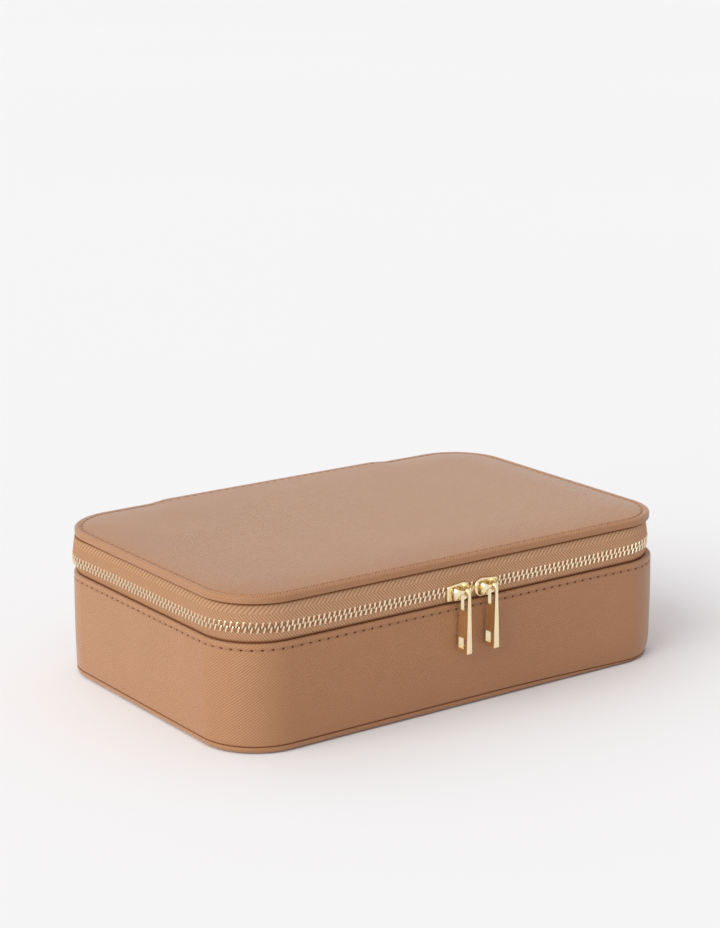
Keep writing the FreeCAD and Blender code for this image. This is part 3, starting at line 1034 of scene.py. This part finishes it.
def bridge_ring(turn, foot, reach):
    """Ring of a slider's bridge: broad at its feet, round where the pull hangs on it."""
    x = -reach * math.cos(turn)
    y = -bridge_bar_height * math.sin(turn) ** 0.75
    spread = eased((abs(x) - bridge_bar_reach) / (reach - bridge_bar_reach))
    half_thick = bridge_bar + (bridge_foot_thick - bridge_bar) * spread
    half_wide = bridge_bar + (bridge_foot_wide - bridge_bar) * spread
    angles = 2 * math.pi * np.arange(bridge_sides) / bridge_sides
    out = half_thick * np.cos(angles)
    z = half_wide * np.sin(angles) - bridge_foot_drop * spread
    return np.column_stack([x - out * math.cos(turn), y - out * math.sin(turn), z]) + foot


def make_bridge(side):
    """Bow that stands on a slider and carries its pull."""
    low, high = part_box(f"slider_{side}_crown")
    foot = np.array([(low.x + high.x) / 2, high.y, (low.z + high.z) / 2])
    reach = (high.x - low.x) / 2 - bridge_foot_thick
    turns = np.linspace(0, math.pi, bridge_rings)
    rings = np.array([[bridge_ring(turn, foot, reach) for turn in turns]])
    bridge = tubes(f"slider_{side}_bridge", rings, gold_metal, 60)
    piece(bridge, f"slider_{side}", "gold", f"slider_{side}_crown")


def copied(name, node_name):
    """New object with the shape of a CAD node, for a piece that differs from it a little."""
    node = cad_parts[node_name]
    mesh = node.data.copy()
    mesh.transform(node.matrix_world)
    dress(mesh, gold_metal)
    return added(name, mesh)


def make_slider(side):
    """Slider shaped as in the CAD, with its front wing set a little lower on the chain."""
    node_name = f"slider_{side}_body"
    slider = copied(f"slider_{side}_wings", node_name)
    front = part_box(node_name)[0].y + wing_reach
    for vertex in slider.data.vertices:
        if vertex.co.y < front:
            vertex.co.z -= wing_drop
    smooth(slider, 30)
    piece(slider, f"slider_{side}", "gold", node_name)


def make_pull(side):
    """Pull shaped as in the CAD, a little slimmer at its top and longer at its foot."""
    pull = copied(f"pull_{side}_plate", f"pull_{side}")
    low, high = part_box(f"pull_{side}")
    middle = (low.x + high.x) / 2
    for vertex in pull.data.vertices:
        share = (high.z - vertex.co.z) / (high.z - low.z)
        slim = pull_slim + (1 - pull_slim) * share
        vertex.co.x = middle + (vertex.co.x - middle) * slim
        vertex.co.z -= pull_longer * share
    smooth(pull, 30)
    piece(pull, f"pull_{side}", "gold", f"pull_{side}")


def make_hinge_strip():
    """Leather strip across the back, sewn under the wall and the lid, with soft long edges."""
    back = hinge_high.y
    front = hinge_low.y
    hidden_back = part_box("zip_tape_lower")[1].y
    levels = np.linspace(hinge_low.z, hinge_high.z, hinge_rows)
    xs = np.linspace(-hinge_half_width, hinge_half_width, hinge_columns)
    points = []
    for face_share in (1.0, 0.0):
        for level in levels:
            hidden = level < leather_top
            depth = ((hidden_back if hidden else back) - front) * face_share
            share = (level - leather_top) / (hinge_high.z - leather_top)
            swell = 0 if hidden else hinge_swell * math.sin(math.pi * share)
            for x in xs:
                edge = min((hinge_half_width - abs(x)) / hinge_edge, 1)
                points.append((x, front + depth * (0.45 + 0.55 * edge) + face_share * swell, level))
    sheet = hinge_rows * hinge_columns
    index = np.arange(sheet).reshape(hinge_rows, hinge_columns)
    corners = [index[:-1, :-1], index[1:, :-1], index[1:, 1:], index[:-1, 1:]]
    quads = np.stack(corners, axis=-1).reshape(-1, 4)
    border = np.concatenate([index[:-1, 0], index[-1, :-1], index[:0:-1, -1], index[0, :0:-1]])
    after = np.roll(border, -1)
    edges = np.stack([border, border + sheet, after + sheet, after], axis=1)
    faces = np.concatenate([quads, quads[:, ::-1] + sheet, edges]).tolist()
    strip = new_object("hinge_leather", points, faces, leather_material)
    set_grain(strip.data, [(points[k][0], points[k][2]) for face in faces for k in face])
    weld(strip)
    smooth(strip)
    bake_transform(strip)
    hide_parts("hinge_strip")


# Inside

def make_base_lining():
    walk = case.round_walk(plain_spacing)
    fold = wall_top - 0.9 * mm
    rows = [(lining_inset, floor_bottom), (lining_inset, fold), (tape_back_inset, fold)]
    rows += quarter((tape_back_inset, wall_top - 0.4 * mm), (tape_back_inset + 0.4 * mm, wall_top), False)
    rows += quarter((cavity_inset - 0.6 * mm, wall_top), (cavity_inset, wall_top - 0.6 * mm), True)
    rows += [(cavity_inset, level) for level in np.linspace(wall_top - 2 * mm, floor_bottom, 10)]
    lining = loft("base_lining", walk, rows, suede_material, shell=True)
    piece(lining, "base", "suede", "base_wall_lining")


def make_floor_pad():
    walk = case.round_walk(pad_spacing)
    rows = [centre_row(floor_bottom), (cavity_inset + 0.3 * mm, floor_bottom)]
    rows += [(cavity_inset + 0.1 * mm, floor_bottom + 0.8 * mm)]
    roll_start = (cavity_inset + 0.1 * mm, floor_top - 1.2 * mm)
    rows += quarter(roll_start, (cavity_inset + 1.4 * mm, floor_top - 0.35 * mm), False)
    for reach, drop in ((4, 0.25), (9, 0.12), (18, 0.04), (35, 0.0), (60, 0.0)):
        rows.append((cavity_inset + reach * mm, floor_top - drop * mm))
    rows.append(centre_row(floor_top))
    pad = loft("floor_cushion", walk, rows, suede_material)
    piece(pad, "base", "suede", "floor_pad")


def cavity_left(y, clearance):
    """Left end of the inside at a depth, following its round corners."""
    radius = corner_radius - cavity_inset
    reach = half_width - cavity_inset
    beyond = np.clip(np.abs(y) - (half_depth - cavity_inset - radius), 0, radius - clearance)
    return -(reach - radius + np.sqrt(np.maximum(radius ** 2 - beyond ** 2, 0))) + clearance


def make_ring_roll(number):
    """Soft roll that rings are pushed down beside, with rounded ends and a slight ripple."""
    node = f"ring_roll_{number}"
    low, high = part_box(node)
    radius = (high.z - low.z) / 2
    centre_y = (low.y + high.y) / 2
    centre_z = (low.z + high.z) / 2
    turns = np.arange(roll_sides) * 2 * math.pi / roll_sides
    shares = [0, 0.02, 0.08, 0.2, 0.4, 0.65, 1.0]
    stops = [("left", share) for share in shares]
    stops += [("middle", k / roll_steps) for k in range(1, roll_steps)]
    stops += [("right", share) for share in reversed(shares)]
    rings = []
    for place, share in stops:
        near_end = place != "middle"
        size = radius
        if near_end:
            size = radius - roll_end * (1 - math.sqrt(1 - (1 - share) ** 2))
        ripple = 1.0 if near_end else 1 + roll_ripple * np.sin(5 * turns + number + share * 9)
        y = centre_y + size * ripple * np.cos(turns)
        z = centre_z + size * ripple * np.sin(turns)
        left = np.maximum(cavity_left(y, ring_clearance), low.x)
        if place == "left":
            x = left + roll_end * share
        elif place == "right":
            x = np.full(len(turns), high.x - roll_end * share)
        else:
            x = left + roll_end + (high.x - left - 2 * roll_end) * share
        rings.append(np.column_stack([x, y, z]))
    roll = tubes(f"ring_cushion_{number}", np.array([rings]), suede_material)
    piece(roll, "base", "suede", node)


def make_ring_bed():
    low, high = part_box("ring_bed")
    radius = corner_radius - cavity_inset
    levels = [(0.4, low.z), (0.0, low.z + 1 * mm), (0.0, high.z - 2 * mm)]
    levels += [(0.5, high.z - 0.7 * mm), (1.6, high.z)]
    corner_y = half_depth - cavity_inset - radius
    spots = []
    for y, turn_from in ((corner_y, 90), (-corner_y, 180)):
        for step in range(13):
            turn = math.radians(turn_from + 90 * step / 12)
            spots.append((low.x + radius, y, math.cos(turn), math.sin(turn)))
    rings = []
    for inset, level in levels:
        draw = inset * mm + ring_clearance
        ring = [(x + (radius - draw) * c, y + (radius - draw) * s, level) for x, y, c, s in spots]
        ring.append((high.x - draw, ring[-1][1], level))
        ring.append((high.x - draw, ring[0][1], level))
        rings.append(ring)
    bed = tubes("ring_bed_cushion", np.array([rings]), suede_material)
    piece(bed, "base", "suede", "ring_bed")


def make_lid_lining():
    walk = case.round_walk(plain_spacing)
    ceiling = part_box("mirror_glass")[1].z
    bottom = lid_fold_bottom
    rows = [centre_row(rim_bottom), (lining_inset, rim_bottom), (lining_inset, bottom + 0.8 * mm)]
    rows += [(tape_back_inset, bottom + 0.8 * mm)]
    rows += quarter((tape_back_inset, bottom + 0.35 * mm), (tape_back_inset + 0.35 * mm, bottom), False)
    rows += quarter((cavity_inset - 0.5 * mm, bottom), (cavity_inset, bottom + 0.5 * mm), True)
    rows += quarter((cavity_inset, ceiling - 1.2 * mm), (cavity_inset + 1.2 * mm, ceiling), False)
    rows += [(inset * mm, ceiling) for inset in (9, 14, 22, 40, 60)] + [centre_row(ceiling)]
    lining = loft("lid_suede_lining", walk, rows, suede_material)
    piece(lining, "lid", "suede", "lid_lining")


def make_mirror_frame():
    """Padded suede frame that holds the mirror in the lid."""
    low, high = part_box("mirror_frame")
    glass_low, glass_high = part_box("mirror_glass")
    walk = Outline(high.x, high.y, mirror_corner).round_walk(mirror_spacing)
    width = high.x - glass_high.x
    lip = width + mirror_lip
    top = high.z
    glass_face = glass_low.z - 0.05 * mm
    rows = [(width - 0.3 * mm, top), (0.0, top), (0.0, top - 0.8 * mm)]
    rows += quarter((0.0, low.z + 1.4 * mm), (1.6 * mm, low.z + 0.15 * mm), False)
    rows += [(width / 2, low.z), (lip - 1.8 * mm, low.z + 0.1 * mm)]
    rows += quarter((lip - 1.0 * mm, low.z + 0.3 * mm), (lip, glass_face - 0.05 * mm), True)
    rows += [(width - 0.3 * mm, glass_face)]
    made = loft("mirror_suede_frame", walk, rows, suede_material, shell=True)
    piece(made, "lid", "suede", "mirror_frame")


def dress_cad_nodes():
    """Materials for the CAD nodes that stay in view."""
    kept = {
        board_material: ("base_wall_board", "bottom_board", "lid_board", "lid_frame"),
        suede_material: ("divider_long", "divider_cross", "divider_short"),
        mirror_material: ("mirror_glass",),
        tooth_metal: ("zip_stops_lower", "zip_stops_upper"),
    }
    for material, names in kept.items():
        for name in names:
            dress(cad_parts[name].data, material)


# Studio

def make_floor():
    size = floor_size
    corners = [(-size, -size, 0), (size, -size, 0), (size, size, 0), (-size, size, 0)]
    paint = make_plain(
        "floor", (0.8, 2.0), (241, 239, 242), (244, 242, 245), (0.9, 0.9), Specular_IOR_Level=0.1
    )
    floor = new_object("floor", corners, [(0, 1, 2, 3)], paint)


def make_world():
    """Pale studio, brighter to the back left and above, dimmer in front."""
    world = bpy.data.worlds.new("studio")
    bpy.context.scene.world = world
    world.use_nodes = True
    nodes = Nodes(world.node_tree)
    light = nodes.tree.nodes["Background"]
    facing = nodes.add("ShaderNodeVectorMath", operation="DOT_PRODUCT")
    way = nodes.add("ShaderNodeTexCoord").outputs["Generated"]
    nodes.feed_all(facing, way, Vector(bright_side).normalized())
    level = nodes.between(facing.outputs["Value"], dim_level, bright_level, dim_from)
    nodes.fill(light, Color=nodes.mix(level, dim_colour, bright_colour), Strength=level)
    backdrop = nodes.add("ShaderNodeBackground")
    nodes.fill(backdrop, Color=backdrop_colour)
    rays = nodes.add("ShaderNodeLightPath").outputs
    mirrored = nodes.maths("MAXIMUM", rays["Is Glossy Ray"], rays["Is Transmission Ray"])
    seen = nodes.maths("MAXIMUM", rays["Is Camera Ray"], mirrored)
    choice = nodes.add("ShaderNodeMixShader")
    nodes.feed_all(choice, seen, light.outputs[0], backdrop.outputs[0])
    nodes.fill(nodes.tree.nodes["World Output"], Surface=choice.outputs[0])


def aim(made, back):
    """Turn a lamp or a camera to look against a direction."""
    made.rotation_mode = "QUATERNION"
    made.rotation_quaternion = (-Vector(back)).to_track_quat("-Z", "Y")


def make_key():
    """Broad soft key from the left."""
    light = bpy.data.lights.new("key", "SUN")
    light.energy = key_level
    light.color = key_colour
    light.angle = key_spread
    aim(added("key", light), key_side)


def make_camera():
    data = bpy.data.cameras.new("camera")
    data.sensor_width = sensor
    data.lens = focal_pixels * sensor / image_long_side
    data.clip_start = 0.01
    data.clip_end = 100.0
    camera = added("camera", data)
    camera.location = camera_place
    level = math.cos(camera_elevation)
    right = math.sin(camera_azimuth) * level
    aim(camera, (right, -math.cos(camera_azimuth) * level, math.sin(camera_elevation)))
    bpy.context.scene.camera = camera


make_wall()
make_bottom()
make_lid()
make_tape("tape_lower", seam_bottom, chain_level - cord_gap, "base", "zip_tape_lower")
make_tape("tape_upper", chain_level + cord_gap, rim_bottom, "lid", "zip_tape_upper")
make_teeth("teeth_lower", -1, "base", "zip_teeth_lower")
make_teeth("teeth_upper", 1, "lid", "zip_teeth_upper")
for zip_side in ("left", "right"):
    make_slider(zip_side)
    make_bridge(zip_side)
    make_pull(zip_side)
make_hinge_strip()
make_base_lining()
make_floor_pad()
for roll_number in range(1, 8):
    make_ring_roll(roll_number)
make_ring_bed()
make_lid_lining()
make_mirror_frame()
dress_cad_nodes()

make_floor()
make_world()
make_key()
make_camera()
bpy.context.scene.view_settings.view_transform = "Standard"
